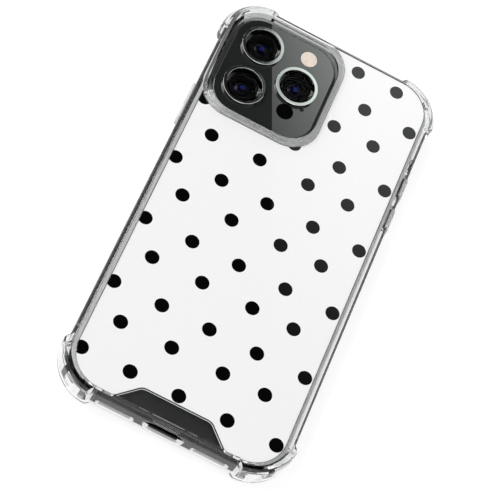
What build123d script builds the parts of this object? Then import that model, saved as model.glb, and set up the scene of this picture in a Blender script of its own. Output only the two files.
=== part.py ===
from build123d import *
import math
import os

# A smartphone in a clear two-material case, lying face down. Millimetres.
# +X is right when looking at the back, +Y runs to the camera end, +Z points out of the back.
# The origin is the middle of the footprint, on the plane of the case's front lip.

# ---- Phone body ----
PHONE_W = 71.5
PHONE_L = 146.7
PHONE_T = 7.65
PHONE_R = 11.5
BAND_EDGE_ROUND = 0.45
BAND_WALL = 2.2
GLASS_INSET = 0.9
GLASS_T = 0.7
GLASS_EDGE_ROUND = 0.3
GLASS_PROUD = 0.25
DISPLAY_T = 0.65

# ---- Case ----
LIP_H = 1.2
LIP_OVERHANG = 0.9
WALL = 1.85
FIT = 0.05
PLATE_T = 1.5
FILM_T = 0.1
RIM_RISE = 0.25
RIM_EDGE_ROUND = 0.2
RIM_SIDE = 3.05
RIM_END = 1.8
PLATE_R = 10.9
FRONT_EDGE_ROUND = 1.6
BACK_EDGE_ROUND = 2.0

PHONE_FRONT = LIP_H
PHONE_BACK = PHONE_FRONT + PHONE_T
PLATE_LOW = PHONE_BACK + FIT
FILM_LOW = PLATE_LOW + PLATE_T
FILM_TOP = FILM_LOW + FILM_T
RIM_TOP = FILM_TOP + RIM_RISE
CASE_W = PHONE_W + 2 * WALL
CASE_L = PHONE_L + 2 * WALL
CASE_R = PHONE_R + WALL
PLATE_W = CASE_W - 2 * RIM_SIDE
PLATE_L = CASE_L - 2 * RIM_END
MID_Z = PHONE_FRONT + PHONE_T / 2

# ---- Corner bumpers: a bulge over each corner, with two air pockets and a rib inside ----
BULGE = 1.25
BULGE_EDGE_ROUND = 1.5
BULGE_LOW = 0.3
BULGE_TOP = 10.45
BULGE_END_X = 23.8
BULGE_END_Y = 62.0
POCKET_DEPTH = 1.6
POCKET_LOW = 2.4
POCKET_TOP = 8.0
POCKET_END_WALL = 1.6
RIB_T = 2.0

# ---- Camera island and the case's ring around it ----
ISLAND_X = -15.65
ISLAND_Y = 51.7
ISLAND_W = 35.3
ISLAND_L = 37.4
ISLAND_R = 9.0
ISLAND_T = 1.6
ISLAND_TOP = PHONE_BACK + ISLAND_T
ISLAND_EDGE_ROUND = 0.35
RING_TOP = 12.2
RING_RIGHT = 4.8
RING_LEFT = -36.6
RING_LOW_Y = 30.3
RING_HIGH_Y = 74.3
RING_R = 10.8
RING_SLOPE = 1.1
RING_HOLE_GAP = 0.8
RING_EDGE_ROUND = 0.35

# ---- Lenses: name, x, y ----
LENSES = (
    ("upper", -23.6, 60.4),
    ("lower", -23.6, 43.6),
    ("side", -8.0, 52.3),
)
LENS_RING_R = 7.1
LENS_RING_TOP = 11.75
LENS_RING_BEVEL = 0.08
LENS_RING_INNER_BEVEL = 0.05
LENS_COVER_R = 6.05
LENS_COVER_TOP = 11.6
LENS_COVER_T = 0.5
LENS_COVER_BEVEL = 0.1
LENS_BORE_R = 5.8
BARREL_R = 5.0
BARREL_LOW = 3.9
BARREL_TOP = 10.6
BARREL_BORE_R = 2.2
BARREL_SEAT = 8.3
BARREL_STEPS = ((4.6, 10.6), (4.3, 10.2), (3.9, 10.2), (3.7, 9.8), (3.3, 9.8), (3.1, 9.4), (2.75, 9.4))
ELEMENT_R = 2.72
ELEMENT_LOW = 8.32
ELEMENT_RIM = 8.9
ELEMENT_DOME = 0.55
CAN_SIDE = 13.0
CAN_LOW = 3.2
CAN_TOP = 8.05
CAN_BORE_R = 5.4
CAN_CORNER_R = 0.8
SENSOR_LOW = 2.65
BRACKET = (33.0, 35.0, 6.0, 6.6, 7.1)
BRACKET_SHIFT_Y = -0.3
BRACKET_GAP = 0.1
FLASH = (-8.1, 64.6)
FLASH_R = 2.8
FLASH_LOW = 9.6
FLASH_BORE_R = 2.4
FLASH_LAMP_R = 2.2
FLASH_LAMP_TOP = 9.5
FLASH_BOARD_HALF = 3.0
FLASH_BOARD_LOW = 7.5
DEPTH_SENSOR = (-8.1, 42.2)
DEPTH_SENSOR_R = 2.85
DEPTH_SENSOR_LOW = 9.8
DEPTH_BORE_R = 2.8
DEPTH_NOSE_R = 2.6
DEPTH_NOSE_TOP = 9.7
DEPTH_CAN_HALF = (4.3, 2.8)
DEPTH_CAN_LOW = 3.6
REAR_MIC = (-3.35, 45.75)
REAR_MIC_R = 0.72
REAR_MIC_LOW = 9.7
REAR_MIC_SET = 0.12
REAR_MIC_BORE_R = 0.5
WINDOW_GAP = 0.03
MIC_GAP = 0.02
BACK_CUT = (5.0, 12.0)

# ---- Side buttons: centre y and length on the phone, and the travel ----
POWER_Y = 30.9
POWER_L = 15.5
VOLUME_UP_Y = 38.7
VOLUME_DOWN_Y = 25.9
VOLUME_L = 9.4
BUTTON_H = 2.9
BUTTON_PROUD = 0.35
BUTTON_SLOT_GAP = 0.08
BUTTON_DEPTH = 1.5
BUTTON_EDGE_ROUND = 0.2
PLUNGER_R = 0.6
PLUNGER_OVERLAP = 0.2
COVER_EXTRA_L = 0.9
COVER_H = 5.0
COVER_GAP = 0.1
COVER_PROUD = 0.75
COVER_EDGE_ROUND = 0.45
MUTE_Y = 47.6
MUTE_SLOT_L = 5.6
MUTE_SLOT_H = 3.2
MUTE_LEVER_L = 4.0
MUTE_LEVER_H = 1.8
MUTE_LEVER_GAP = 0.1
MUTE_LEVER_INNER = 0.3
MUTE_WINDOW_L = 5.7
MUTE_WINDOW_H = 5.0

# ---- Openings in the bottom wall ----
PORT_WINDOW_L = 12.9
PORT_WINDOW_H = 5.8
PORT_WINDOW_Z = 5.3
PORT_L = 8.0
PORT_H = 2.9
SLOT_X = 15.8
SLOT_L = 12.0
SLOT_H = 2.6
SLOT_Z = 4.2
SOUND_HOLE_R = 0.75
SOUND_HOLE_PITCH = 2.1
SOUND_HOLE_COUNT = 6
SCREW_X = 6.5
SCREW_R = 0.75
SCREW_L = 4.45
SCREW_SET = 0.05
SCREW_GAP = 0.02
SCREW_SLOT = (1.0, 0.6, 0.22)
WINDOW_EDGE_ROUND = 0.4

# ---- Clear tab at the bottom of the back, a trapezoid let into the printed plate ----
TAB_TOP_Y = -66.9
TAB_TOP_HALF = 11.6
TAB_LOW_HALF = 18.4
TAB_ROUND = 3.5
TAB_FLARE = 2.5
TAB_BORDER = 0.7
TAB_SLOPE = (TAB_LOW_HALF - TAB_TOP_HALF) / (TAB_TOP_Y + PLATE_L / 2)

# ---- Printed pattern: two kinds of row that alternate ----
DOT_R = 2.32
DOT_PITCH_Y = 24.29
EVEN_COLUMNS = (-25.9, -8.75, 8.5, 22.75)
EVEN_FIRST_Y = 45.9
EVEN_ROWS = 6
TOP_ROW_Y = 69.0
ODD_COLUMNS = (-33.1, -16.9, -0.75, 15.45, 31.9)
ODD_FIRST_Y = 57.05
ODD_ROWS = 6
DOT_LEAST_VOLUME = 0.01

# ---- Inner pieces ----
CAVITY_W = PHONE_W - 2 * BAND_WALL
CAVITY_L = PHONE_L - 2 * BAND_WALL
CAVITY_R = PHONE_R - BAND_WALL
DISPLAY_GAP = 0.1
CHASSIS_LOW = 7.6
CHASSIS_TOP = 8.05
COIL_Y = -2.0
COIL_IN_R = 9.0
COIL_OUT_R = 21.5
MAGNET_IN_R = 23.0
MAGNET_OUT_R = 27.5
MAGNET_COUNT = 16
MAGNET_GAP_DEG = 3.0
COIL_HOLE_R = 28.2
COIL_LOW = 7.5
COIL_TOP = 8.0
COIL_GROOVES = (11, 13, 15, 17, 19)
COIL_GROOVE_W = 0.3
COIL_GROOVE_LOW = 7.9
MAGNET_LOW = 7.4
CAMERA_HOLE = (34.4, 36.4, 6.0)

# ---- Antenna breaks in the band: width, depth, y on the long sides, x and side on the ends ----
BREAK_W = 1.2
BREAK_DEPTH = 1.1
BREAK_SIDE_Y = 57.0
BREAK_ENDS = ((-23.5, -1), (21.0, 1))

# ---- Card tray and button contacts ----
TRAY_Y = -6.5
TRAY_L = 15.2
TRAY_H = 1.9
TRAY_DEPTH = 15.5
TRAY_FACE_T = 1.5
TRAY_FACE_SET = 0.02
TRAY_FRAME_T = 1.4
TRAY_FRAME_SIDE = 0.9
TRAY_RIM = 0.8
TRAY_FLOOR_T = 0.4
CONTACT_GAP = 0.35
CONTACT_T = 0.9
CONTACT_FACE = CAVITY_W / 2 - 0.1
CONTACT_HALF_L = 2.2
CONTACT_HALF_H = 1.4
MUTE_CONTACT_HALF = (3.0, 2.0)
MUTE_CONTACT_X = (32.0, 33.4)

# ---- Charging port shell ----
PORT_SHELL_HALF = (4.9, 2.2)
PORT_SHELL_DEPTH = 8.8
PORT_SHELL_R = 1.6
PORT_BACK_T = 1.2
PORT_BORE = (7.8, 2.7)
PORT_FRONT = -PHONE_L / 2 + BAND_WALL + 0.02

# ---- Boxes inside the phone: x low, x high, y low, y high, z low, z high ----
BOARD_WIDE = (8.5, 31.5, 6.0, 64.0, 4.6, 5.4)
BOARD_NARROW = (8.5, 18.5, -50.0, 6.5, 4.6, 5.4)
SHIELDS = (
    (9.5, 30.5, 38.0, 63.0, 5.4, 7.2),
    (9.5, 30.5, 10.0, 35.5, 5.4, 7.2),
    (9.5, 17.5, -48.0, 5.0, 5.4, 7.2),
    (9.5, 30.5, 12.0, 60.0, 3.0, 4.6),
    (9.5, 17.5, -45.0, 3.0, 3.0, 4.6),
)
BATTERY = (-32.5, 5.5, -54.0, 27.0, 2.9, 7.1)
BATTERY_EDGE_ROUND = 0.9
PORT_BOARD = (-30.0, 30.0, -59.5, -55.0, 2.9, 3.6)
SPEAKER = (-28.0, -9.0, -70.0, -60.5, 2.9, 7.0)
EARPIECE = (-3.0, 8.0, 67.9, 71.0, 2.8, 5.2)
FRONT_CAMERA = (11.0, 17.0, 65.0, 71.0, 2.9, 6.0)
BOTTOM_MIC = (13.0, 17.0, -71.0, -69.4, 3.8, 6.2)
MOTOR_CAN = (8.5, 29.5, -69.0, -60.5, 2.9, 6.9)
MOTOR_ROOM = (8.9, 29.1, -68.6, -60.9, 3.3, 6.5)
MOTOR_MASS = (11.5, 26.5, -68.4, -61.1, 3.5, 6.3)
SMALL_BOX_ROUND = 0.8
SPEAKER_ROUND = 1.5
CAN_ROUND = 1.0
MASS_ROUND = 0.6

COVERS = (
    (-1, POWER_Y, POWER_L),
    (1, VOLUME_UP_Y, VOLUME_L),
    (1, VOLUME_DOWN_Y, VOLUME_L),
)
CORNERS = ((-1, -1), (-1, 1), (1, -1), (1, 1))
PAST = 1.0
SIDE_CUT = (30.0, 40.0)
END_CUT = (-80.0, -70.0)
CORNER_CUT = (-1.0, 14.0)


def slab(width, length, radius, low, high, x=0.0, y=0.0):
    """A flat plate with rounded corners, between two heights."""
    outline = Pos(x, y, low) * RectangleRounded(width, length, radius)
    return extrude(outline, amount=high - low)


def block(x_low, x_high, y_low, y_high, z_low, z_high):
    """A plain box from its two corners."""
    middle = Pos((x_low + x_high) / 2, (y_low + y_high) / 2, (z_low + z_high) / 2)
    return middle * Box(x_high - x_low, y_high - y_low, z_high - z_low)


def upright_box(limits, radius):
    """A box with its four upright edges rounded."""
    return fillet(block(*limits).edges().filter_by(Axis.Z), radius)


def rod(x, y, radius, low, high):
    """A round bar along Z."""
    return Pos(x, y, (low + high) / 2) * Cylinder(radius, high - low)


def pill_along_y(x_low, x_high, y, z, length, height):
    """A bar through a side wall: a pill seen along X, its long way along Y."""
    plane = Plane(origin=(x_low, y, z), x_dir=(0, 1, 0), z_dir=(1, 0, 0))
    return extrude(plane * SlotOverall(length, height), amount=x_high - x_low)


def pill_along_x(y_low, y_high, x, z, length, height):
    """A bar through an end wall: a pill seen along Y, its long way along X."""
    plane = Plane(origin=(x, y_low, z), x_dir=(1, 0, 0), z_dir=(0, 1, 0))
    return extrude(plane * SlotOverall(length, height), amount=y_high - y_low)


def end_rod(x, z, radius, y_low, y_high):
    """A round bar along Y."""
    return Pos(x, (y_low + y_high) / 2, z) * Rot(90, 0, 0) * Cylinder(radius, y_high - y_low)


def diagonal_strip(sign_x, sign_y, near, far, low, high):
    """A strip across one corner, its sides at 45 degrees, bounded by two values of |x| - |y|."""
    middle = (near + far) / 2
    width = (far - near) / math.sqrt(2)
    strip = Pos(middle / 2 + 50, -middle / 2 + 50, (low + high) / 2) * Rot(0, 0, 45) * Box(
        120, width, high - low
    )
    if sign_x < 0:
        strip = mirror(strip, about=Plane.YZ)
    if sign_y < 0:
        strip = mirror(strip, about=Plane.XZ)
    return strip


# ---- The case ----
def ring_face(inset):
    """The flat outline of the camera ring, drawn in by the inset."""
    x = (RING_RIGHT + RING_LEFT) / 2
    y = (RING_HIGH_Y + RING_LOW_Y) / 2
    width = RING_RIGHT - RING_LEFT - 2 * inset
    length = RING_HIGH_Y - RING_LOW_Y - 2 * inset
    return Pos(x, y, 0) * RectangleRounded(width, length, RING_R - inset)


def ring_outline(inset, low, high):
    """The camera ring's outer shape between two heights, drawn in by the inset."""
    return extrude(Pos(0, 0, low) * ring_face(inset), amount=high - low)


def tab_outline(low, high, bottom, inset=0.0):
    """The clear tab, wider at the bottom, with rounded top corners, drawn in by the inset."""
    top = TAB_TOP_Y - inset
    side = inset * math.hypot(1, TAB_SLOPE)
    top_half = TAB_TOP_HALF + TAB_SLOPE * inset - side
    low_half = TAB_TOP_HALF + TAB_SLOPE * (TAB_TOP_Y - bottom) - side
    corners = ((-low_half, bottom), (low_half, bottom), (top_half, top), (-top_half, top))
    outline = Pos(0, 0, low) * make_face(Polyline(*corners, close=True))
    tab = extrude(outline, amount=high - low)
    rounded = tab.edges().filter_by(Axis.Z).group_by(Axis.Y)[-1]
    return fillet(rounded, TAB_ROUND - inset)


def plate_shape(low, high, gap=0.0):
    """The printed plate's outline between two heights: a rounded rectangle less ring and tab."""
    plate = slab(PLATE_W + 2 * gap, PLATE_L + 2 * gap, PLATE_R + gap, low, high)
    plate -= ring_outline(-FIT + gap, low - PAST, high + PAST)
    plate -= tab_outline(low - PAST, high + PAST, -CASE_L / 2)
    feet = [
        edge
        for edge in plate.edges().filter_by(Axis.Z)
        if edge.center().Y < -PLATE_L / 2 + PAST and abs(edge.center().X) < TAB_LOW_HALF + PAST
    ]
    return fillet(feet, TAB_FLARE + gap)


def dot_places():
    """The middle of every printed dot."""
    places = [(x, TOP_ROW_Y) for x in EVEN_COLUMNS]
    for row in range(EVEN_ROWS):
        places += [(x, EVEN_FIRST_Y - row * DOT_PITCH_Y) for x in EVEN_COLUMNS]
    for row in range(ODD_ROWS):
        places += [(x, ODD_FIRST_Y - row * DOT_PITCH_Y) for x in ODD_COLUMNS]
    return places


def make_back_plate():
    return plate_shape(PLATE_LOW, FILM_LOW)


def make_dots_and_film():
    """The dots and the white film around them, one layer thick, side by side."""
    film = plate_shape(FILM_LOW, FILM_TOP)
    dots = []
    for x, y in dot_places():
        dot = rod(x, y, DOT_R, FILM_LOW, FILM_TOP) & film
        if dot is None or not dot.solids():
            continue
        dots += [solid for solid in dot.solids() if solid.volume > DOT_LEAST_VOLUME]
    for dot in dots:
        film -= dot
    return Compound(dots), film.solids().sort_by(SortBy.VOLUME)[-1]


def make_corner_bulges():
    """Four corner bulges that stand out from the walls, each ending in a 45-degree step."""
    bulge = slab(
        CASE_W + 2 * BULGE, CASE_L + 2 * BULGE, CASE_R + BULGE, BULGE_LOW, BULGE_TOP
    )
    edges = bulge.edges().group_by(Axis.Z)
    bulge = fillet(edges[0] + edges[-1], BULGE_EDGE_ROUND)
    near = BULGE_END_X - CASE_L / 2
    far = CASE_W / 2 - BULGE_END_Y
    pieces = [bulge & diagonal_strip(sx, sy, near, far, *CORNER_CUT) for sx, sy in CORNERS]
    return pieces


def make_corner_pockets():
    """The air pockets: two in each corner, open to the phone, with a solid rib between them."""
    inner = slab(PHONE_W, PHONE_L, PHONE_R, POCKET_LOW - PAST, POCKET_TOP + PAST)
    reach = 2 * (FIT + POCKET_DEPTH)
    ring = slab(PHONE_W + reach, PHONE_L + reach, PHONE_R + reach / 2, POCKET_LOW, POCKET_TOP)
    ring -= inner
    rib = RIB_T / math.sqrt(2)
    middle = (PHONE_W - PHONE_L) / 2
    near = BULGE_END_X - CASE_L / 2 + POCKET_END_WALL * math.sqrt(2)
    far = CASE_W / 2 - BULGE_END_Y - POCKET_END_WALL * math.sqrt(2)
    pockets = []
    for sx, sy in CORNERS:
        pockets.append(ring & diagonal_strip(sx, sy, near, middle - rib, *CORNER_CUT))
        pockets.append(ring & diagonal_strip(sx, sy, middle + rib, far, *CORNER_CUT))
    return pockets


def make_camera_ring():
    """The raised ring that guards the lenses, with sloping sides and rounded edges."""
    base = ring_outline(0, PLATE_LOW, FILM_TOP)
    low = Pos(0, 0, FILM_TOP) * ring_face(0)
    high = Pos(0, 0, RING_TOP) * ring_face(RING_SLOPE)
    slope = loft([low, high])
    slope = fillet(slope.edges().group_by(Axis.Z)[-1], RING_EDGE_ROUND)
    return base + slope


def side_openings():
    """The windows in the case's side walls, for the three covers and the mute switch."""
    reach = (PHONE_W / 2 - PAST, CASE_W / 2 + PAST)
    cuts = []
    for side, y, length in COVERS:
        window_l = length + COVER_EXTRA_L + 2 * COVER_GAP
        window = pill_along_y(reach[0], reach[1], y, MID_Z, window_l, COVER_H + 2 * COVER_GAP)
        cuts.append(window if side > 0 else mirror(window, about=Plane.YZ))
    cuts.append(pill_along_y(reach[0], reach[1], MUTE_Y, MID_Z, MUTE_WINDOW_L, MUTE_WINDOW_H))
    return cuts


def end_openings():
    """The windows in the case's bottom wall: the port's, and a sound slot on each side of it."""
    low = -CASE_L / 2 - PAST
    high = -PHONE_L / 2 + PAST
    cuts = [pill_along_x(low, high, 0, PORT_WINDOW_Z, PORT_WINDOW_L, PORT_WINDOW_H)]
    for sign in (-1, 1):
        cuts.append(pill_along_x(low, high, sign * SLOT_X, SLOT_Z, SLOT_L, SLOT_H))
    return cuts


def make_bumper():
    """The soft clear frame: walls, lip, back rim, corner bulges, camera ring and tab in one."""
    body = slab(CASE_W, CASE_L, CASE_R, 0, RIM_TOP)
    edges = body.edges().group_by(Axis.Z)
    body = fillet(edges[0], FRONT_EDGE_ROUND)
    body = fillet(body.edges().group_by(Axis.Z)[-1], BACK_EDGE_ROUND)
    for bulge in make_corner_bulges():
        body += bulge
    body += make_camera_ring()
    body -= slab(
        PHONE_W + 2 * FIT, PHONE_L + 2 * FIT, PHONE_R + FIT, PHONE_FRONT - FIT, PLATE_LOW
    )
    opening = 2 * LIP_OVERHANG
    body -= slab(
        PHONE_W - opening, PHONE_L - opening, PHONE_R - LIP_OVERHANG, -PAST, PHONE_FRONT
    )
    body -= plate_shape(PLATE_LOW - FIT, RIM_TOP + PAST, gap=FIT)
    body -= tab_outline(FILM_TOP, RIM_TOP + PAST, -PLATE_L / 2, TAB_BORDER)
    body -= island(PLATE_LOW - PAST, RING_TOP + PAST, RING_HOLE_GAP)
    for cut in make_corner_pockets() + side_openings() + end_openings():
        body -= cut
    body = fillet(rim_edges(body), RIM_EDGE_ROUND)
    return fillet(window_rims(body), WINDOW_EDGE_ROUND)


def rim_edges(body):
    """The raised rim's inner edges along the plate's sides and corners, and both edges of the
    bead round the tab."""
    side_x = PLATE_W / 2 + FIT
    corner_y = PLATE_L / 2 - PLATE_R
    chosen = []
    for edge in body.edges():
        box = edge.bounding_box()
        if abs(box.min.Z - RIM_TOP) > FIT or abs(box.max.Z - RIM_TOP) > FIT:
            continue
        x, y = abs(edge.center().X), edge.center().Y
        touches_side = abs(max(abs(box.min.X), abs(box.max.X)) - side_x) < FIT / 2
        on_side = touches_side and (box.size.X < FIT or abs(y) > corner_y)
        on_bead = x < TAB_LOW_HALF and -CASE_L / 2 + BACK_EDGE_ROUND + FIT < y < -corner_y
        if on_side or on_bead:
            chosen.append(edge)
    return chosen


def window_rims(body):
    """The outer edges of the port window and the sound slots, on the face of the bottom wall."""
    face_y = -CASE_L / 2
    low = SLOT_Z - SLOT_H
    high = PORT_WINDOW_Z + PORT_WINDOW_H
    rims = []
    for edge in body.edges():
        middle = edge.center()
        box = edge.bounding_box()
        on_face = abs(box.min.Y - face_y) < FIT / 2 and abs(box.max.Y - face_y) < FIT / 2
        if on_face and abs(middle.X) < BULGE_END_X - PAST and low < middle.Z < high:
            rims.append(edge)
    return rims


def make_cover(side, y, length):
    """A button cover: a clear bar that stands a little proud of the wall."""
    inner = PHONE_W / 2 + BUTTON_PROUD + COVER_GAP
    outer = CASE_W / 2 + COVER_PROUD
    cover = pill_along_y(inner, outer, y, MID_Z, length + COVER_EXTRA_L, COVER_H)
    cover = fillet(cover.edges().group_by(Axis.X)[-1], COVER_EDGE_ROUND)
    return cover if side > 0 else mirror(cover, about=Plane.YZ)


# ---- The phone's shell ----
def island(low, high, grow=0.0):
    """The camera island's outline between two heights, drawn out by a margin."""
    width = ISLAND_W + 2 * grow
    length = ISLAND_L + 2 * grow
    return slab(width, length, ISLAND_R + grow, low, high, ISLAND_X, ISLAND_Y)


def make_steel_band():
    """The flat-sided steel frame, with ledges for both glasses and every opening."""
    low = PHONE_FRONT + GLASS_PROUD
    high = PHONE_BACK - GLASS_PROUD
    band = slab(PHONE_W, PHONE_L, PHONE_R, low, high)
    edges = band.edges().group_by(Axis.Z)
    band = fillet(edges[0] + edges[-1], BAND_EDGE_ROUND)
    band -= slab(CAVITY_W, CAVITY_L, CAVITY_R, low - PAST, high + PAST)
    seat = 2 * (GLASS_INSET - FIT)
    seat_r = PHONE_R - GLASS_INSET + FIT
    band -= slab(PHONE_W - seat, PHONE_L - seat, seat_r, low - PAST, PHONE_FRONT + GLASS_T)
    band -= slab(PHONE_W - seat, PHONE_L - seat, seat_r, PHONE_BACK - GLASS_T, high + PAST)
    gap = 2 * BUTTON_SLOT_GAP
    for side, y, length in COVERS:
        slot = pill_along_y(*SIDE_CUT, y, MID_Z, length + gap, BUTTON_H + gap)
        band -= slot if side > 0 else mirror(slot, about=Plane.YZ)
    band -= pill_along_y(*SIDE_CUT, MUTE_Y, MID_Z, MUTE_SLOT_L, MUTE_SLOT_H)
    band -= pill_along_y(*SIDE_CUT, TRAY_Y, MID_Z, TRAY_L + gap, TRAY_H + gap)
    band -= pill_along_x(*END_CUT, 0, MID_Z, PORT_L, PORT_H)
    for x in sound_hole_places():
        band -= end_rod(x, MID_Z, SOUND_HOLE_R, *END_CUT)
    for sign in (-1, 1):
        band -= end_rod(sign * SCREW_X, MID_Z, SCREW_R + SCREW_GAP, *END_CUT)
    return band


def sound_hole_places():
    """The x of each round sound hole in the phone's bottom wall, both sides of the port."""
    first = SLOT_X - SOUND_HOLE_PITCH * (SOUND_HOLE_COUNT - 1) / 2
    right = [first + i * SOUND_HOLE_PITCH for i in range(SOUND_HOLE_COUNT)]
    return [-x for x in right] + right


def split_antenna_breaks(band):
    """Thin plastic breaks let into the band: two on each long side and one on each end."""
    breaks = []
    x_in = PHONE_W / 2 - BREAK_DEPTH
    y_in = PHONE_L / 2 - BREAK_DEPTH
    half = BREAK_W / 2
    for sx, sy in CORNERS:
        y = sy * BREAK_SIDE_Y
        x_low, x_high = sorted((sx * x_in, sx * CASE_W / 2))
        breaks.append(band & block(x_low, x_high, y - half, y + half, 0, RIM_TOP))
    for x, sy in BREAK_ENDS:
        y_low, y_high = sorted((sy * y_in, sy * CASE_L / 2))
        breaks.append(band & block(x - half, x + half, y_low, y_high, 0, RIM_TOP))
    solids = [solid for piece in breaks for solid in piece.solids()]
    for solid in solids:
        band -= solid
    return band, Compound(solids)


def make_glass(low, high, round_edge):
    """A flat cover glass that sits inside the band, its outer edge rounded."""
    inset = 2 * GLASS_INSET
    glass = slab(PHONE_W - inset, PHONE_L - inset, PHONE_R - GLASS_INSET, low, high)
    edges = glass.edges().group_by(Axis.Z)
    return fillet(edges[round_edge], GLASS_EDGE_ROUND)


def make_back_glass():
    glass = make_glass(PHONE_BACK - GLASS_T, PHONE_BACK, -1)
    for _, x, y in LENSES:
        glass -= rod(x, y, LENS_BORE_R, *BACK_CUT)
    glass -= rod(*FLASH, FLASH_BORE_R, *BACK_CUT)
    glass -= rod(*DEPTH_SENSOR, DEPTH_BORE_R, *BACK_CUT)
    return glass - rod(*REAR_MIC, REAR_MIC_BORE_R, *BACK_CUT)


def make_camera_plateau():
    """The glossy slab that carries the lenses, with a soft upper edge."""
    plateau = island(PHONE_BACK, ISLAND_TOP)
    plateau = fillet(plateau.edges().group_by(Axis.Z)[-1], ISLAND_EDGE_ROUND)
    for _, x, y in LENSES:
        plateau -= rod(x, y, LENS_BORE_R, *BACK_CUT)
    plateau -= rod(*FLASH, FLASH_R + WINDOW_GAP, *BACK_CUT)
    plateau -= rod(*DEPTH_SENSOR, DEPTH_SENSOR_R + WINDOW_GAP, *BACK_CUT)
    return plateau - rod(*REAR_MIC, REAR_MIC_R + MIC_GAP, *BACK_CUT)


def make_chassis_plate():
    """The thin plate welded in the band, cut out for the cameras and the charging coil."""
    plate = slab(CAVITY_W, CAVITY_L, CAVITY_R, CHASSIS_LOW, CHASSIS_TOP)
    plate -= slab(*CAMERA_HOLE, CHASSIS_LOW - PAST, CHASSIS_TOP + PAST, ISLAND_X, ISLAND_Y)
    return plate - rod(0, COIL_Y, COIL_HOLE_R, CHASSIS_LOW - PAST, CHASSIS_TOP + PAST)


# ---- The cameras ----
def turned(x, y, points):
    """A round piece about a vertical axis, from its half section (radius, height)."""
    profile = make_face(Plane.XZ * Polyline(*points, close=True))
    return Pos(x, y, 0) * revolve(profile, axis=Axis.Z)


def make_lens_ring(x, y):
    """The polished ring round a lens, with an inner ledge that carries the cover."""
    ledge = LENS_COVER_TOP - LENS_COVER_T
    inner = LENS_COVER_R + WINDOW_GAP
    points = (
        (LENS_BORE_R, ISLAND_TOP),
        (LENS_RING_R, ISLAND_TOP),
        (LENS_RING_R, LENS_RING_TOP - LENS_RING_BEVEL),
        (LENS_RING_R - LENS_RING_BEVEL, LENS_RING_TOP),
        (inner + LENS_RING_INNER_BEVEL, LENS_RING_TOP),
        (inner, LENS_RING_TOP - LENS_RING_INNER_BEVEL),
        (inner, ledge),
        (LENS_BORE_R, ledge),
    )
    return turned(x, y, points)


def make_lens_cover(x, y):
    """The clear disc over a lens, with a bevelled top edge."""
    low = LENS_COVER_TOP - LENS_COVER_T
    points = (
        (0, low),
        (LENS_COVER_R, low),
        (LENS_COVER_R, LENS_COVER_TOP - LENS_COVER_BEVEL),
        (LENS_COVER_R - LENS_COVER_BEVEL, LENS_COVER_TOP),
        (0, LENS_COVER_TOP),
    )
    return turned(x, y, points)


def make_lens_barrel(x, y):
    """The focusing barrel: a tube with a stepped black mouth, open down its middle."""
    outside = ((BARREL_BORE_R, BARREL_LOW), (BARREL_R, BARREL_LOW), (BARREL_R, BARREL_TOP))
    seat = ((BARREL_STEPS[-1][0], BARREL_SEAT), (BARREL_BORE_R, BARREL_SEAT))
    return turned(x, y, outside + BARREL_STEPS + seat)


def make_lens_element(x, y):
    """The front lens: flat below and domed above, seated in the barrel's mouth."""
    crown = ELEMENT_RIM + ELEMENT_DOME
    edge = (ELEMENT_R, ELEMENT_RIM)
    sphere_r = (ELEMENT_R**2 + ELEMENT_DOME**2) / (2 * ELEMENT_DOME)
    tilt = math.asin(ELEMENT_R / sphere_r) / 2
    middle = (sphere_r * math.sin(tilt), crown - sphere_r * (1 - math.cos(tilt)))
    section = Polyline((0, crown), (0, ELEMENT_LOW), (ELEMENT_R, ELEMENT_LOW), edge)
    arc = ThreePointArc(edge, middle, (0, crown))
    profile = Plane.XZ * make_face([section, arc])
    return Pos(x, y, 0) * revolve(profile, axis=Axis.Z)


def make_camera_can(x, y):
    """A camera's square housing, bored for its barrel."""
    half = CAN_SIDE / 2
    can = block(x - half, x + half, y - half, y + half, CAN_LOW, CAN_TOP)
    can = fillet(can.edges().filter_by(Axis.Z), CAN_CORNER_R)
    return can - rod(x, y, CAN_BORE_R, CAN_LOW - PAST, CAN_TOP + PAST)


def make_image_sensors():
    """One sensor board under each camera housing."""
    half = CAN_SIDE / 2
    boards = [
        block(x - half, x + half, y - half, y + half, SENSOR_LOW, CAN_LOW) for _, x, y in LENSES
    ]
    return Compound([board.solid() for board in boards])


def make_camera_bracket():
    """The stamped bracket that ties the three housings together."""
    bracket = slab(*BRACKET, ISLAND_X, ISLAND_Y + BRACKET_SHIFT_Y)
    half = CAN_SIDE / 2 + BRACKET_GAP
    for _, x, y in LENSES:
        bracket -= block(x - half, x + half, y - half, y + half, *BACK_CUT)
    half_x, half_y = DEPTH_CAN_HALF
    bracket -= block(
        *around(DEPTH_SENSOR, half_x + BRACKET_GAP, half_y + BRACKET_GAP), *BACK_CUT
    )
    return bracket.solids().sort_by(SortBy.VOLUME)[-1]


def around(point, half_x, half_y):
    """The x and y limits of a box about a point."""
    x, y = point
    return x - half_x, x + half_x, y - half_y, y + half_y


def make_flash_emitter():
    """The flash's lamp on its small board."""
    half = FLASH_BOARD_HALF
    board = block(*around(FLASH, half, half), FLASH_BOARD_LOW, CAN_TOP)
    return board + rod(*FLASH, FLASH_LAMP_R, FLASH_BOARD_LOW, FLASH_LAMP_TOP)


def make_depth_window():
    """The round black window over the distance sensor."""
    return rod(*DEPTH_SENSOR, DEPTH_SENSOR_R, DEPTH_SENSOR_LOW, ISLAND_TOP + WINDOW_GAP)


def make_depth_sensor():
    """The distance sensor: a small can with a round nose behind its window."""
    can = block(*around(DEPTH_SENSOR, *DEPTH_CAN_HALF), DEPTH_CAN_LOW, CAN_TOP)
    return can + rod(*DEPTH_SENSOR, DEPTH_NOSE_R, DEPTH_CAN_LOW, DEPTH_NOSE_TOP)


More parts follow.
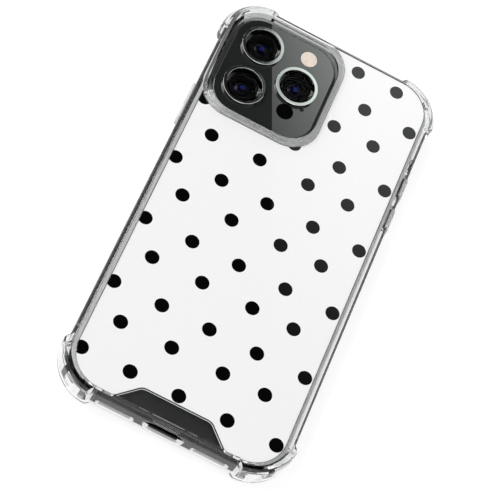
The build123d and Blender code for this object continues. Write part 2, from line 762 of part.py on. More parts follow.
# ---- Buttons, switches and tray ----
def make_button(side, y, length):
    """A steel button: a pill in the band's slot, with a plunger towards its contact."""
    outer = PHONE_W / 2 + BUTTON_PROUD
    inner = outer - BUTTON_DEPTH
    button = pill_along_y(inner, outer, y, MID_Z, length, BUTTON_H)
    button = fillet(button.edges().group_by(Axis.X)[-1], BUTTON_EDGE_ROUND)
    tip = CONTACT_FACE + CONTACT_GAP
    reach = inner - tip + PLUNGER_OVERLAP
    stem = Pos(tip + reach / 2, y, MID_Z) * Rot(0, 90, 0) * Cylinder(PLUNGER_R, reach)
    button += stem
    return button if side > 0 else mirror(button, about=Plane.YZ)


def make_contact(side, y):
    """A push contact behind a button."""
    y_low, y_high = y - CONTACT_HALF_L, y + CONTACT_HALF_L
    z_low, z_high = MID_Z - CONTACT_HALF_H, MID_Z + CONTACT_HALF_H
    contact = block(CONTACT_FACE - CONTACT_T, CONTACT_FACE, y_low, y_high, z_low, z_high)
    return contact if side > 0 else mirror(contact, about=Plane.YZ)


def make_mute_switch():
    """The sliding lever: it stands out of its slot and slides across the phone's thickness."""
    low = MID_Z - MUTE_SLOT_H / 2 + MUTE_LEVER_GAP
    middle = low + MUTE_LEVER_H / 2
    inner = CAVITY_W / 2 + MUTE_LEVER_INNER
    outer = PHONE_W / 2 + BUTTON_PROUD
    lever = pill_along_y(inner, outer, MUTE_Y, middle, MUTE_LEVER_L, MUTE_LEVER_H)
    return fillet(lever.edges().group_by(Axis.X)[-1], BUTTON_EDGE_ROUND)


def make_mute_contact():
    """The small switch body that the lever moves."""
    half_y, half_z = MUTE_CONTACT_HALF
    return block(
        *MUTE_CONTACT_X, MUTE_Y - half_y, MUTE_Y + half_y, MID_Z - half_z, MID_Z + half_z
    )


def make_sim_tray():
    """The card tray: a flat frame with a curved face that closes the slot in the band."""
    outer = PHONE_W / 2 - TRAY_FACE_SET
    inner = outer - TRAY_DEPTH
    front = outer - TRAY_FACE_T
    half = TRAY_L / 2 - TRAY_FRAME_SIDE
    low = MID_Z - TRAY_FRAME_T / 2
    face = pill_along_y(front, outer, TRAY_Y, MID_Z, TRAY_L, TRAY_H)
    frame = block(inner, front, TRAY_Y - half, TRAY_Y + half, low, low + TRAY_FRAME_T)
    half -= TRAY_RIM
    card = (inner + TRAY_RIM, front - TRAY_RIM, TRAY_Y - half, TRAY_Y + half)
    return face + frame - block(*card, low + TRAY_FLOOR_T, MID_Z + TRAY_H)


# ---- Electronics ----
def make_charging_port():
    """The port's shell, a blind pill-shaped socket behind the band's opening."""
    half_x, half_z = PORT_SHELL_HALF
    back = PORT_FRONT + PORT_SHELL_DEPTH
    shell = block(-half_x, half_x, PORT_FRONT, back, MID_Z - half_z, MID_Z + half_z)
    shell = fillet(shell.edges().filter_by(Axis.Y), PORT_SHELL_R)
    return shell - pill_along_x(PORT_FRONT - PAST, back - PORT_BACK_T, 0, MID_Z, *PORT_BORE)


def make_bottom_screws():
    """Two small screws beside the port, with a cross slot in each head."""
    face = -PHONE_L / 2
    screws = []
    for sign in (-1, 1):
        head = face + SCREW_SET
        screw = end_rod(sign * SCREW_X, MID_Z, SCREW_R, head, head + SCREW_L)
        for turn in (0, 90):
            slot = Pos(sign * SCREW_X, face, MID_Z) * Rot(0, turn, 0) * Box(*SCREW_SLOT)
            screw -= slot
        screws.append(screw.solid())
    return Compound(screws)


def make_main_board():
    """The stacked logic board: wide at the top, narrow beside the battery."""
    return block(*BOARD_WIDE) + block(*BOARD_NARROW)


def make_board_shields():
    """Pressed cans over the chips on both faces of the board."""
    return Compound([upright_box(limits, CAN_ROUND).solid() for limits in SHIELDS])


def make_battery():
    """The flat pouch cell."""
    return fillet(block(*BATTERY).edges(), BATTERY_EDGE_ROUND)


def washer(inner, outer, low, high):
    """A flat ring about the charging coil's axis."""
    return rod(0, COIL_Y, outer, low, high) - rod(0, COIL_Y, inner, low - PAST, high + PAST)


def make_wireless_coil():
    """The flat charging coil, grooved where its turns lie side by side."""
    coil = washer(COIL_IN_R, COIL_OUT_R, COIL_LOW, COIL_TOP)
    half = COIL_GROOVE_W / 2
    for radius in COIL_GROOVES:
        coil -= washer(radius - half, radius + half, COIL_GROOVE_LOW, COIL_TOP + PAST)
    return coil


def make_magnet_ring():
    """The circle of magnets round the coil, in separate segments."""
    ring = washer(MAGNET_IN_R, MAGNET_OUT_R, MAGNET_LOW, COIL_TOP)
    step = 360 / MAGNET_COUNT
    width = 2 * MAGNET_OUT_R * math.sin(math.radians(MAGNET_GAP_DEG / 2))
    reach = (MAGNET_IN_R + MAGNET_OUT_R) / 2
    for i in range(MAGNET_COUNT):
        bar = Pos(reach, 0, COIL_TOP) * Box(MAGNET_OUT_R - MAGNET_IN_R + PAST, width, 2 * PAST)
        ring -= Pos(0, COIL_Y, 0) * Rot(0, 0, (i + 0.5) * step) * bar
    return Compound(ring.solids())


def make_bottom_speaker():
    """The loudspeaker box by the left sound holes."""
    return upright_box(SPEAKER, SPEAKER_ROUND)


def make_vibration_housing():
    """The long can in which the vibration motor's mass slides."""
    return upright_box(MOTOR_CAN, CAN_ROUND) - block(*MOTOR_ROOM)


def make_vibration_mass():
    """The heavy block that slides to and fro inside its can."""
    return upright_box(MOTOR_MASS, MASS_ROUND)


def make_earpiece_speaker():
    """The small speaker at the top edge."""
    return upright_box(EARPIECE, SMALL_BOX_ROUND)


def make_front_camera():
    """The front camera's small block, beside the earpiece."""
    return upright_box(FRONT_CAMERA, SMALL_BOX_ROUND)


def make_nodes():
    """Every node by name."""
    dots, film = make_dots_and_film()
    band, breaks = split_antenna_breaks(make_steel_band())
    nodes = {
        "back_plate": make_back_plate(),
        "print_film": film,
        "print_dots": dots,
        "bumper": make_bumper(),
        "power_button_cover": make_cover(*COVERS[0]),
        "volume_up_cover": make_cover(*COVERS[1]),
        "volume_down_cover": make_cover(*COVERS[2]),
        "steel_band": band,
        "antenna_breaks": breaks,
        "back_glass": make_back_glass(),
        "front_glass": make_glass(PHONE_FRONT, PHONE_FRONT + GLASS_T, 0),
        "display_panel": slab(
            CAVITY_W - 2 * DISPLAY_GAP, CAVITY_L - 2 * DISPLAY_GAP, CAVITY_R - DISPLAY_GAP,
            PHONE_FRONT + GLASS_T, PHONE_FRONT + GLASS_T + DISPLAY_T,
        ),
        "chassis_plate": make_chassis_plate(),
        "camera_plateau": make_camera_plateau(),
        "image_sensors": make_image_sensors(),
        "camera_bracket": make_camera_bracket(),
        "flash_lens": rod(*FLASH, FLASH_R, FLASH_LOW, ISLAND_TOP + WINDOW_GAP),
        "flash_emitter": make_flash_emitter(),
        "depth_sensor_window": make_depth_window(),
        "depth_sensor": make_depth_sensor(),
        "rear_microphone": rod(*REAR_MIC, REAR_MIC_R, REAR_MIC_LOW, ISLAND_TOP - REAR_MIC_SET),
        "power_button": make_button(*COVERS[0]),
        "volume_up_button": make_button(*COVERS[1]),
        "volume_down_button": make_button(*COVERS[2]),
        "power_contact": make_contact(-1, POWER_Y),
        "volume_contacts": Compound(
            [make_contact(1, y).solid() for y in (VOLUME_UP_Y, VOLUME_DOWN_Y)]
        ),
        "mute_switch": make_mute_switch(),
        "mute_contact": make_mute_contact(),
        "sim_tray": make_sim_tray(),
        "charging_port": make_charging_port(),
        "bottom_screws": make_bottom_screws(),
        "main_board": make_main_board(),
        "board_shields": make_board_shields(),
        "battery": make_battery(),
        "wireless_coil": make_wireless_coil(),
        "magnet_ring": make_magnet_ring(),
        "bottom_speaker": make_bottom_speaker(),
        "earpiece_speaker": make_earpiece_speaker(),
        "front_camera": make_front_camera(),
        "port_board": block(*PORT_BOARD),
        "bottom_microphone": block(*BOTTOM_MIC),
        "vibration_housing": make_vibration_housing(),
        "vibration_mass": make_vibration_mass(),
    }
    for name, x, y in LENSES:
        nodes[name + "_lens_ring"] = make_lens_ring(x, y)
        nodes[name + "_lens_cover"] = make_lens_cover(x, y)
        nodes[name + "_lens_barrel"] = make_lens_barrel(x, y)
        nodes[name + "_lens_element"] = make_lens_element(x, y)
        nodes[name + "_camera_can"] = make_camera_can(x, y)
    return nodes


os.makedirs("parts", exist_ok=True)
for node_name, shape in make_nodes().items():
    export_step(shape, f"parts/{node_name}.step")
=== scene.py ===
import bpy
import math
from mathutils import Matrix, Vector


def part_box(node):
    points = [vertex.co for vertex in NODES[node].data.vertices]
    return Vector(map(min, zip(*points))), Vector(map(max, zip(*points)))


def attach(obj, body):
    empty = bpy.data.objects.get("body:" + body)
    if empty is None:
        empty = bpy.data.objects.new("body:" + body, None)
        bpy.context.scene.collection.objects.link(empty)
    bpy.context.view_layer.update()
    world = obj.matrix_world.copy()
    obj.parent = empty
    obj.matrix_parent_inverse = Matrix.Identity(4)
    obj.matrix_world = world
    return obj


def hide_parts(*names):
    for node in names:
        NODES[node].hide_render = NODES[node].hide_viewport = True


# Looks for a printed clear case on a phone. Metres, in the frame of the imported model:
# +X to the right seen from the back, +Y towards the cameras, +Z out of the printed back.

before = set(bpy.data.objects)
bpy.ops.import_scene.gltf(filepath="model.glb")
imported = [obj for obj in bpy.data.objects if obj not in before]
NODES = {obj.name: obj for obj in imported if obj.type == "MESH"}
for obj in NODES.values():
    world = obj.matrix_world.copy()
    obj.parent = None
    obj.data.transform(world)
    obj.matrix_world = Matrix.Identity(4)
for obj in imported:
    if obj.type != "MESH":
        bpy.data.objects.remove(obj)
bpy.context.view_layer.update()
PHONE_LOW, PHONE_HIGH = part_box("steel_band")
PHONE_BACK_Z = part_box("back_glass")[1].z
PHONE_CORNER = 0.0115                          # the radius of its outline's corners
ISLAND_LOW, ISLAND_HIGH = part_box("camera_plateau")
PRINT_TOP_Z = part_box("print_film")[1].z

# ---------------------------------------------------------------- camera
CAM_SENSOR_MM = 36.0
CAM_LENS_MM = 147.52
CAM_NEAR, CAM_FAR = 0.01, 50.0
CAM_AT = Vector((-0.047495, -0.312369, 0.552124))
CAM_AIM = Vector((-0.001669, -0.008408, 0.0105))
CAM_ROLL = math.radians(34.590)


def make_camera():
    data = bpy.data.cameras.new("view_camera")
    data.sensor_width = CAM_SENSOR_MM
    data.lens = CAM_LENS_MM
    data.clip_start = CAM_NEAR
    data.clip_end = CAM_FAR
    camera = bpy.data.objects.new("view_camera", data)
    bpy.context.scene.collection.objects.link(camera)
    forward = (CAM_AIM - CAM_AT).normalized()
    level = forward.cross(Vector((0, 0, 1))).normalized()
    upright = level.cross(forward)
    right = level * math.cos(CAM_ROLL) + upright * math.sin(CAM_ROLL)
    up = upright * math.cos(CAM_ROLL) - level * math.sin(CAM_ROLL)
    turn = Matrix((right, up, -forward)).transposed().to_4x4()
    camera.matrix_world = Matrix.Translation(CAM_AT) @ turn
    bpy.context.scene.camera = camera


# ---------------------------------------------------------------- helpers for shader nodes
NOISE_DETAIL = 3.0


def dot_product(tree, vector, way):
    node = tree.nodes.new("ShaderNodeVectorMath")
    node.operation = "DOT_PRODUCT"
    node.inputs[1].default_value = way
    tree.links.new(vector, node.inputs[0])
    return node.outputs["Value"]


def one_axis(tree, vector, axis):
    node = tree.nodes.new("ShaderNodeSeparateXYZ")
    tree.links.new(vector, node.inputs[0])
    return node.outputs[axis]


def map_range(tree, value, before, after=(0.0, 1.0), interpolation="LINEAR"):
    """The value moved from the range before to the range after, and held within it."""
    node = tree.nodes.new("ShaderNodeMapRange")
    node.interpolation_type = interpolation
    for socket, number in zip(("From Min", "From Max", "To Min", "To Max"), (*before, *after)):
        node.inputs[socket].default_value = number
    tree.links.new(value, node.inputs["Value"])
    return node.outputs["Result"]


def blend_colours(tree, factor, low, high):
    mix = tree.nodes.new("ShaderNodeMix")
    mix.data_type = "RGBA"
    mix.inputs["A"].default_value = (*low, 1)
    mix.inputs["B"].default_value = (*high, 1)
    tree.links.new(factor, mix.inputs["Factor"])
    return mix.outputs["Result"]


def noise(tree, vector, grain, stretch):
    mapping = tree.nodes.new("ShaderNodeMapping")
    mapping.inputs["Scale"].default_value = stretch
    texture = tree.nodes.new("ShaderNodeTexNoise")
    texture.inputs["Scale"].default_value = 1.0 / grain
    texture.inputs["Detail"].default_value = NOISE_DETAIL
    tree.links.new(vector, mapping.inputs["Vector"])
    tree.links.new(mapping.outputs["Vector"], texture.inputs["Vector"])
    return texture.outputs["Fac"]


# ---------------------------------------------------------------- finishes
NOISE_MIDDLE = (0.3, 0.7)                      # the noise seldom leaves this range
BUMP_STRENGTH = 0.5
BUMP_GRAIN_SHARE = 0.4                         # bumps are finer than the changes of colour

CLEAR = {"Transmission_Weight": 1.0}
VARNISH = {"Coat_Weight": 1.0, "Coat_Roughness": 0.02, "Coat_IOR": 1.5, "Specular_IOR_Level": 0.0}
METAL = {"Metallic": 1.0}

FINISHES = {
    # the case, by the slots of its CAD nodes
    "clear_plate": dict(
        low=(0.97, 0.98, 0.98), high=(0.99, 0.99, 0.99), rough=(0.01, 0.03), grain=0.004, **CLEAR,
        IOR=1.5),
    "white_print": dict(
        low=(0.76, 0.76, 0.76), high=(0.79, 0.79, 0.79), rough=(0.30, 0.40), grain=0.0006, **VARNISH),
    "black_print": dict(
        low=(0.0010, 0.0010, 0.0011), high=(0.0022, 0.0022, 0.0023), rough=(0.30, 0.40), grain=0.0006,
        **VARNISH),
    "clear_soft": dict(
        low=(0.93, 0.935, 0.94), high=(0.95, 0.955, 0.96), rough=(0.0, 0.02), grain=0.003, **CLEAR,
        IOR=1.45),
    # faces of the clear bumper and its button covers, which share the slot clear_soft; several of them carry
    # painted shade, others painted highlights
    "clear_touching": dict(
        low=(0.95, 0.95, 0.955), high=(0.97, 0.97, 0.975), rough=(0.0, 0.0), grain=0.003, **CLEAR,
        IOR=1.0),
    # painted shade: the clear wall round the camera island's hole is tinted dark
    "clear_shaded": dict(
        low=(0.22, 0.22, 0.225), high=(0.26, 0.26, 0.265), rough=(0.0, 0.01), grain=0.003, **CLEAR,
        IOR=1.45),
    # painted shade: the clear wall beyond the camera end is tinted dark
    "clear_far_wall": dict(
        low=(0.20, 0.20, 0.205), high=(0.24, 0.24, 0.245), rough=(0.0, 0.01), grain=0.003, **CLEAR,
        IOR=1.45),
    # painted shade: a nearly black line along the rim's inner edge over the print
    "clear_line": dict(
        low=(0.010, 0.010, 0.010), high=(0.014, 0.014, 0.014), rough=(0.0, 0.01), grain=0.003, **CLEAR,
        IOR=1.45),
    # painted highlight: a pale, half frosted finish on the tab's bead and the windows' rounded rims
    "clear_lit": dict(
        low=(0.86, 0.865, 0.87), high=(0.90, 0.905, 0.91), rough=(0.15, 0.25), grain=0.003,
        Transmission_Weight=0.25, IOR=1.45),
    "clear_cover": dict(
        low=(0.80, 0.805, 0.81), high=(0.84, 0.845, 0.85), rough=(0.08, 0.14), grain=0.003,
        Transmission_Weight=0.6, IOR=1.15),
    "ring_backing": dict(
        low=(0.72, 0.725, 0.725), high=(0.78, 0.785, 0.785), rough=(0.4, 0.5), grain=0.002),
    # painted shade: the port windows' lower faces are opaque and dark, pale further out
    "window_face": dict(
        low=(0.05, 0.05, 0.052), high=(0.08, 0.08, 0.082), rough=(0.05, 0.1), grain=0.003, IOR=1.45),
    # the phone's outside
    "graphite_steel": dict(
        low=(0.0355, 0.0355, 0.0365), high=(0.0375, 0.0375, 0.0385), rough=(0.165, 0.175), grain=0.003,
        **METAL, Specular_Tint=(0.3, 0.3, 0.3, 1)),
    "antenna_plastic": dict(
        low=(0.035, 0.035, 0.036), high=(0.05, 0.05, 0.051), rough=(0.4, 0.55), grain=0.0008),
    "back_glass": dict(
        low=(0.030, 0.030, 0.031), high=(0.034, 0.034, 0.035), rough=(0.30, 0.36), grain=0.002, IOR=1.52),
    "plateau_glass": dict(
        low=(0.013, 0.016, 0.015), high=(0.017, 0.020, 0.019), rough=(0.0, 0.008), grain=0.006, IOR=2.2),
    "front_glass": dict(
        low=(0.002, 0.002, 0.0022), high=(0.003, 0.003, 0.0032), rough=(0.01, 0.03), grain=0.006,
        IOR=1.52),
    "display": dict(low=(0.001, 0.001, 0.001), high=(0.002, 0.002, 0.002), rough=(0.2, 0.3), grain=0.0002),
    "dark_window": dict(
        low=(0.0006, 0.0006, 0.0008), high=(0.001, 0.001, 0.0013), rough=(0.03, 0.06), grain=0.003,
        IOR=1.08),
    "mic_mesh": dict(
        low=(0.001, 0.002, 0.0015), high=(0.004, 0.006, 0.005), rough=(0.4, 0.6), grain=0.00015,
        depth=0.00004),
    "flash_lens": dict(
        low=(0.54, 0.40, 0.36), high=(0.80, 0.74, 0.62), rough=(0.12, 0.25), grain=0.0013, depth=0.00006,
        Coat_Weight=1.0),
    "port_metal": dict(
        low=(0.1, 0.1, 0.1), high=(0.14, 0.14, 0.14), rough=(0.2, 0.35), grain=0.0005,
        stretch=(1, 1, 0.1), **METAL),
    "screw_steel": dict(
        low=(0.12, 0.12, 0.12), high=(0.18, 0.18, 0.18), rough=(0.2, 0.35), grain=0.0003, **METAL),
    # the cameras
    "polished_ring": dict(
        low=(0.74, 0.79, 0.76), high=(0.80, 0.85, 0.82), rough=(0.04, 0.08), grain=0.0005,
        stretch=(1, 1, 6), **METAL),
    "lens_cover": dict(
        low=(0.97, 0.98, 1.0), high=(0.99, 0.99, 1.0), rough=(0.0, 0.01), grain=0.004, **CLEAR, IOR=1.08),
    "lens_black": dict(
        low=(0.0015, 0.0015, 0.0016), high=(0.003, 0.003, 0.003), rough=(0.45, 0.6), grain=0.0003,
        depth=0.000004, Specular_IOR_Level=0.06),
    # painted glint: the coated lens is made near black except a small blue spot in its middle
    "coated_lens": dict(
        low=(0.003, 0.005, 0.050), high=(0.010, 0.016, 0.110), rough=(0.01, 0.03), grain=0.0008, IOR=1.45,
        Specular_Tint=(0.04, 0.04, 0.12, 1), Coat_Weight=0.12),
    "module_can": dict(
        low=(0.42, 0.42, 0.40), high=(0.5, 0.5, 0.48), rough=(0.25, 0.4), grain=0.0005, depth=0.00001,
        **METAL),
    "sensor_board": dict(
        low=(0.006, 0.02, 0.012), high=(0.012, 0.035, 0.02), rough=(0.35, 0.5), grain=0.0006,
        depth=0.00001),
    "bracket_steel": dict(
        low=(0.3, 0.3, 0.3), high=(0.38, 0.38, 0.38), rough=(0.2, 0.35), grain=0.0006,
        stretch=(1, 0.05, 1), **METAL),
    "flash_lamp": dict(low=(0.75, 0.55, 0.12), high=(0.85, 0.68, 0.2), rough=(0.5, 0.7), grain=0.0003),
    # the phone's inside
    "chassis_metal": dict(
        low=(0.42, 0.42, 0.43), high=(0.5, 0.5, 0.51), rough=(0.35, 0.5), grain=0.0004, depth=0.00001,
        **METAL),
    "contact": dict(
        low=(0.55, 0.36, 0.1), high=(0.65, 0.45, 0.15), rough=(0.15, 0.3), grain=0.0004, **METAL),
    "circuit_board": dict(
        low=(0.004, 0.018, 0.008), high=(0.012, 0.04, 0.02), rough=(0.3, 0.5), grain=0.0008,
        depth=0.00002),
    "battery_pouch": dict(
        low=(0.006, 0.006, 0.007), high=(0.012, 0.012, 0.014), rough=(0.3, 0.5), grain=0.002,
        depth=0.00003),
    "copper_coil": dict(
        low=(0.55, 0.22, 0.08), high=(0.7, 0.32, 0.14), rough=(0.2, 0.35), grain=0.0003, **METAL),
    "magnet": dict(low=(0.5, 0.5, 0.5), high=(0.6, 0.6, 0.6), rough=(0.12, 0.22), grain=0.0005, **METAL),
    "speaker_box": dict(
        low=(0.006, 0.006, 0.006), high=(0.012, 0.012, 0.012), rough=(0.45, 0.6), grain=0.0004,
        depth=0.00001),
    "dense_metal": dict(
        low=(0.12, 0.12, 0.125), high=(0.2, 0.2, 0.2), rough=(0.4, 0.6), grain=0.0005, depth=0.00001,
        **METAL),
    # the room
    "floor": dict(
        low=(0.34, 0.34, 0.34), high=(0.36, 0.36, 0.36), rough=(0.7, 0.8), grain=0.05,
        Emission_Color=(1, 1, 1, 1), Emission_Strength=0.72),
}

# The port windows' lower faces carry painted shade: dark near the phone, and pale further out than this.
WINDOW_PALE_Y = (PHONE_LOW.y - 0.0008, PHONE_LOW.y - 0.0006)

PAINTED_LIGHT_AND_SHADE = (
    # finish, second colour of painted light and shade, coordinate, its axis, and the range over which the
    # finish's own colour returns
    # painted shade: the lens rings' sides are dark, their flat tops keep the metal's colour
    ("polished_ring", (0.05, 0.05, 0.05), "Normal", "Z", (0.1, 0.6)),
    # painted glint: the lens element is near black but for a small blue spot in its middle
    ("coated_lens", (0.001, 0.001, 0.003), "Normal", "Z", (0.986, 0.998)),
    ("window_face", (0.75, 0.75, 0.755), "Object", "Y", WINDOW_PALE_Y),
)


def finish(name, low, high, rough, grain, depth=0.0, stretch=(1, 1, 1), **sockets):
    """A principled finish, whose colour and roughness vary with noise of the grain's size."""
    material = bpy.data.materials.new(name)
    material.use_nodes = True
    tree = material.node_tree
    shader = tree.nodes["Principled BSDF"]
    shader.name = "surface"
    where = tree.nodes.new("ShaderNodeTexCoord").outputs["Object"]
    tone = noise(tree, where, grain, stretch)
    tree.links.new(blend_colours(tree, tone, low, high), shader.inputs["Base Color"])
    tree.links.new(map_range(tree, tone, NOISE_MIDDLE, rough), shader.inputs["Roughness"])
    if depth:
        bump = tree.nodes.new("ShaderNodeBump")
        bump.inputs["Strength"].default_value = BUMP_STRENGTH
        bump.inputs["Distance"].default_value = depth
        tree.links.new(noise(tree, where, grain * BUMP_GRAIN_SHARE, stretch), bump.inputs["Height"])
        tree.links.new(bump.outputs["Normal"], shader.inputs["Normal"])
    for socket, value in sockets.items():
        shader.inputs[socket.replace("_", " ")].default_value = value
    return material


def paint_light_and_shade(material, colour, coordinate, axis, limits):
    """Painted light and shade: the finish takes a second colour below the limits of a coordinate, and keeps
    its own above them.
    """
    tree = material.node_tree
    base = tree.nodes["surface"].inputs["Base Color"]
    own = base.links[0].from_socket
    where = tree.nodes.new("ShaderNodeTexCoord").outputs[coordinate]
    factor = map_range(tree, one_axis(tree, where, axis), limits)
    mixed = blend_colours(tree, factor, colour, colour)
    tree.links.new(own, mixed.node.inputs["B"])
    tree.links.new(mixed, base)


def make_finishes():
    finishes = {name: finish(name, **facts) for name, facts in FINISHES.items()}
    for name, *facts in PAINTED_LIGHT_AND_SHADE:
        paint_light_and_shade(finishes[name], *facts)
    return finishes


def paint_nodes(finishes):
    """Every CAD node keeps its mesh and takes the procedural finish of its own material slot."""
    for node in NODES.values():
        for holder in node.material_slots:
            holder.material = finishes[holder.material.name.split(".")[0]]


# ---------------------------------------------------------------- the room
MIRROR_WAY = Vector((0.075, 0.498, 0.864))     # where the flat back mirrors to
FLAG_INNER, FLAG_OUTER = math.cos(math.radians(17)), math.cos(math.radians(36))
FLAG_LEVEL, SKY_LEVEL = 0.012, 1.25            # the sky is dark within the flag, round MIRROR_WAY
LIGHTS = (
    # name, place, side of the square, watts; each looks at the origin
    ("key", (-0.80, 0.35, 1.00), 0.7, 8.0),
    ("fill", (0.20, -1.20, 0.90), 1.0, 2.0),
)
SHEEN_Z = 0.6105
SHEEN_CORNERS = ((-0.057, 0.640), (0.141, 0.150), (0.420, 0.150), (0.420, 0.640))
SHEEN_COLOUR = (0.95, 1.0, 0.96, 1)
SHEEN_LEVEL = 1.65
SHEEN_FADE = (0.190, 0.500)                    # it grows over this range of Y
SHEEN_FADE_POWER = 1.6
SHEEN_EDGE_AT = Vector((0.001, 0.497, 0.0))
SHEEN_EDGE = Vector((0.927, 0.374, 0.0))       # from the panel's left edge into the panel
SHEEN_RISE = (-0.004, 0.060)                   # it grows over this range, measured along SHEEN_EDGE
SHEEN_EDGE_SHARE = 0.42                        # of its level, at the left edge
FLOOR_HALF = 4.0


def make_world():
    world = bpy.data.worlds.new("soft_room")
    bpy.context.scene.world = world
    world.use_nodes = True
    tree = world.node_tree
    tree.nodes.clear()
    where = tree.nodes.new("ShaderNodeTexCoord").outputs["Generated"]
    towards = dot_product(tree, where, MIRROR_WAY)
    level = map_range(tree, towards, (FLAG_OUTER, FLAG_INNER), (SKY_LEVEL, FLAG_LEVEL), "SMOOTHSTEP")
    back = tree.nodes.new("ShaderNodeBackground")
    out = tree.nodes.new("ShaderNodeOutputWorld")
    tree.links.new(level, back.inputs["Strength"])
    tree.links.new(back.outputs["Background"], out.inputs["Surface"])


def area_light(name, at, size, power):
    data = bpy.data.lights.new(name, "AREA")
    data.shape = "SQUARE"
    data.size = size
    data.energy = power
    light = bpy.data.objects.new(name, data)
    bpy.context.scene.collection.objects.link(light)
    light.location = at
    light.rotation_mode = "QUATERNION"
    light.rotation_quaternion = (-Vector(at)).to_track_quat("-Z", "Y")


def flat_piece(name, corners):
    mesh = bpy.data.meshes.new(name)
    mesh.from_pydata(corners, [], [tuple(range(len(corners)))])
    piece = bpy.data.objects.new(name, mesh)
    bpy.context.scene.collection.objects.link(piece)
    return piece


def sheen_strength(tree):
    """The panel's glow: it rises away from the straight left edge and fades towards the port."""
    where = tree.nodes.new("ShaderNodeTexCoord").outputs["Object"]
    curve = tree.nodes.new("ShaderNodeMath")
    curve.operation = "POWER"
    curve.inputs[1].default_value = SHEEN_FADE_POWER
    tree.links.new(map_range(tree, one_axis(tree, where, "Y"), SHEEN_FADE), curve.inputs[0])
    start = SHEEN_EDGE.dot(SHEEN_EDGE_AT)
    stretch = tuple(start + distance for distance in SHEEN_RISE)
    levels = (SHEEN_EDGE_SHARE * SHEEN_LEVEL, SHEEN_LEVEL)
    rise = map_range(tree, dot_product(tree, where, SHEEN_EDGE), stretch, levels)
    both = tree.nodes.new("ShaderNodeMath")
    both.operation = "MULTIPLY"
    tree.links.new(curve.outputs[0], both.inputs[0])
    tree.links.new(rise, both.inputs[1])
    return both.outputs[0]


def make_sheen_panel():
    """A softbox whose left edge is the straight end of the sheen on the back."""
    panel = flat_piece("sheen_panel", [(x, y, SHEEN_Z) for x, y in SHEEN_CORNERS])
    material = bpy.data.materials.new("sheen_panel")
    material.use_nodes = True
    tree = material.node_tree
    tree.nodes.clear()
    glow = tree.nodes.new("ShaderNodeEmission")
    glow.inputs["Color"].default_value = SHEEN_COLOUR
    out = tree.nodes.new("ShaderNodeOutputMaterial")
    tree.links.new(sheen_strength(tree), glow.inputs["Strength"])
    tree.links.new(glow.outputs["Emission"], out.inputs["Surface"])
    panel.data.materials.append(material)
    panel.visible_camera = False
    panel.visible_shadow = False


def make_floor(finishes):
    h = FLOOR_HALF
    floor = flat_piece("floor", [(-h, -h, 0), (h, -h, 0), (h, h, 0), (-h, h, 0)])
    floor.data.materials.append(finishes["floor"])


# ---------------------------------------------------------------- the clear bumper and its covers
BUTTON_COVERS = (
    # CAD node, body
    ("power_button_cover", "power_cover"),
    ("volume_up_cover", "volume_up_key_cover"),
    ("volume_down_cover", "volume_down_key_cover"),
)
BUMPER_FINISHES = ("clear_soft", "clear_touching", "ring_backing", "window_face", "clear_shaded",
                   "clear_far_wall", "clear_line", "clear_lit")

TOUCH = 0.00012                                # faces nearer than this touch
UPRIGHT, FLAT = 0.1, 0.9                       # a wall's normal has less Z than this, a flat face's more

BARE_END_Y, BARE_END_HALF = -0.066, 0.028      # no backing at the port's end, between its corners
LIP_TOP_Z = 0.0013                             # the lip under the phone lies below this
WINDOW_DEPTH = 0.0016                          # how far the port windows reach out from the phone's end
WINDOW_FLOOR_Z = (0.002, 0.004)                # the windows' lower faces
HOLE_REACH = 0.0010                            # from the camera island to outside its hole's wall
HOLE_LEAN = 0.3                                # the hole's wall has less Z than this in its normal
# the far wall's painted shade lies within these
FAR_WALL_GAP, FAR_WALL_HALF = 0.0001, 0.024    # outside the phone, and between the corners
BEAD_HALF, BEAD_END_Y = 0.022, -0.055          # the tab's bead lies within these
BEAD_SLOPE = (0.05, 0.97)                      # its rounded side, by the Z of its normal
SKIN = 0.00002                                 # allowed under the print's top
EDGE_HEIGHT = 0.0003                           # of the rim's inner edge over the print
EDGE_TURN = 0.1                                # how far that edge turns to the middle
OUTER_FACE_DEPTH = 0.0014                      # from the phone's end to the windows' rounded rims
OUTER_FACE_Z = (0.0018, 0.0085)                # their heights
OUTER_FACE_TURN = (0.1, 0.98)                  # rounded, so neither along the wall nor straight out
RISING = 0.05                                  # faces with more Z than this look up


def outside_phone(point):
    """How far a point lies outside the phone's rounded outline, seen from the back."""
    dx = abs(point.x) - (PHONE_HIGH.x - PHONE_CORNER)
    dy = abs(point.y) - (PHONE_HIGH.y - PHONE_CORNER)
    if dx > 0 and dy > 0:
        return math.hypot(dx, dy) - PHONE_CORNER
    return max(dx, dy) - PHONE_CORNER


def within(value, limits):
    return limits[0] < value < limits[1]


def near_island(spot):
    x_limits = (ISLAND_LOW.x - HOLE_REACH, ISLAND_HIGH.x + HOLE_REACH)
    y_limits = (ISLAND_LOW.y - HOLE_REACH, ISLAND_HIGH.y + HOLE_REACH)
    return within(spot.x, x_limits) and within(spot.y, y_limits)


def on_the_back(spot):
    """The finish of a face that lies on the phone's back: clear beside the island and at the port's end."""
    beside_island = spot.x < ISLAND_LOW.x and spot.y > ISLAND_LOW.y
    bare_end = spot.y < BARE_END_Y and abs(spot.x) < BARE_END_HALF
    return "clear_touching" if beside_island or bare_end else "ring_backing"


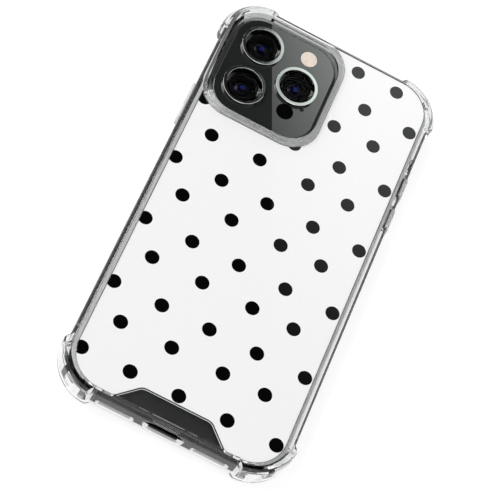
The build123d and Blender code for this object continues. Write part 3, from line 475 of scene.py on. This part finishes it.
def bumper_finish(spot, way):
    """The finish of one face of the bumper, from its middle and its normal."""
    gap = outside_phone(spot)
    inwards = -(way.x * spot.x + way.y * spot.y)
    if abs(way.z) < UPRIGHT and abs(gap) < TOUCH and spot.z < PHONE_BACK_Z + TOUCH:
        return "clear_touching"
    if way.z < -FLAT and abs(spot.z - PHONE_BACK_Z) < TOUCH:
        return on_the_back(spot)
    if way.z > FLAT and spot.z < LIP_TOP_Z and gap < TOUCH:
        return "clear_touching"
    # painted shade on the port windows' lower faces
    if way.z > FLAT and within(PHONE_LOW.y - spot.y, (0, WINDOW_DEPTH)) and within(spot.z, WINDOW_FLOOR_Z):
        return "window_face"
    # painted shade on the clear wall round the camera island's hole
    if abs(way.z) < HOLE_LEAN and near_island(spot):
        return "clear_shaded"
    # painted shade on the far wall beyond the camera end
    if gap > FAR_WALL_GAP and spot.y > PHONE_HIGH.y and abs(spot.x) < FAR_WALL_HALF and way.z > RISING:
        return "clear_far_wall"
    # painted highlight on the rounded sides of the tab's bead
    if spot.z > PRINT_TOP_Z - SKIN and within(spot.y, (PHONE_LOW.y, BEAD_END_Y)) and abs(spot.x) < BEAD_HALF:
        return "clear_lit" if within(way.z, BEAD_SLOPE) else "clear_soft"
    # painted shade: the rim's inner edge is drawn as a dark line
    if within(spot.z - PRINT_TOP_Z, (-SKIN, EDGE_HEIGHT)) and inwards > EDGE_TURN * spot.length:
        return "clear_line"
    # painted highlight on the windows' rounded outer rims
    outer_face = PHONE_LOW.y - spot.y > OUTER_FACE_DEPTH and within(spot.z, OUTER_FACE_Z)
    if outer_face and within(-way.y, OUTER_FACE_TURN):
        return "clear_lit"
    return "clear_soft"


def clear_copy(node, body, name):
    """A copy of a clear CAD node, shown in its place, whose faces can take finishes of their own."""
    piece = bpy.data.objects.new(name, NODES[node].data.copy())
    bpy.context.scene.collection.objects.link(piece)
    piece.data.materials.clear()
    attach(piece, body)
    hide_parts(node)
    return piece.data


def make_bumper(finishes):
    """The moulded frame shows no air gap where it grips the phone, its back has a light grey backing, and
    several faces carry painted shade and painted highlights.
    """
    mesh = clear_copy("bumper", "case", "bumper_clear")
    for name in BUMPER_FINISHES:
        mesh.materials.append(finishes[name])
    for face in mesh.polygons:
        face.material_index = BUMPER_FINISHES.index(bumper_finish(face.center, face.normal))


def make_button_covers(finishes):
    for node, body in BUTTON_COVERS:
        clear_copy(node, body, node + "_clear").materials.append(finishes["clear_cover"])


make_camera()
make_world()
for light in LIGHTS:
    area_light(*light)
make_sheen_panel()
made_finishes = make_finishes()
make_floor(made_finishes)
paint_nodes(made_finishes)
make_bumper(made_finishes)
make_button_covers(made_finishes)

scene = bpy.context.scene
scene.view_settings.view_transform = "Standard"
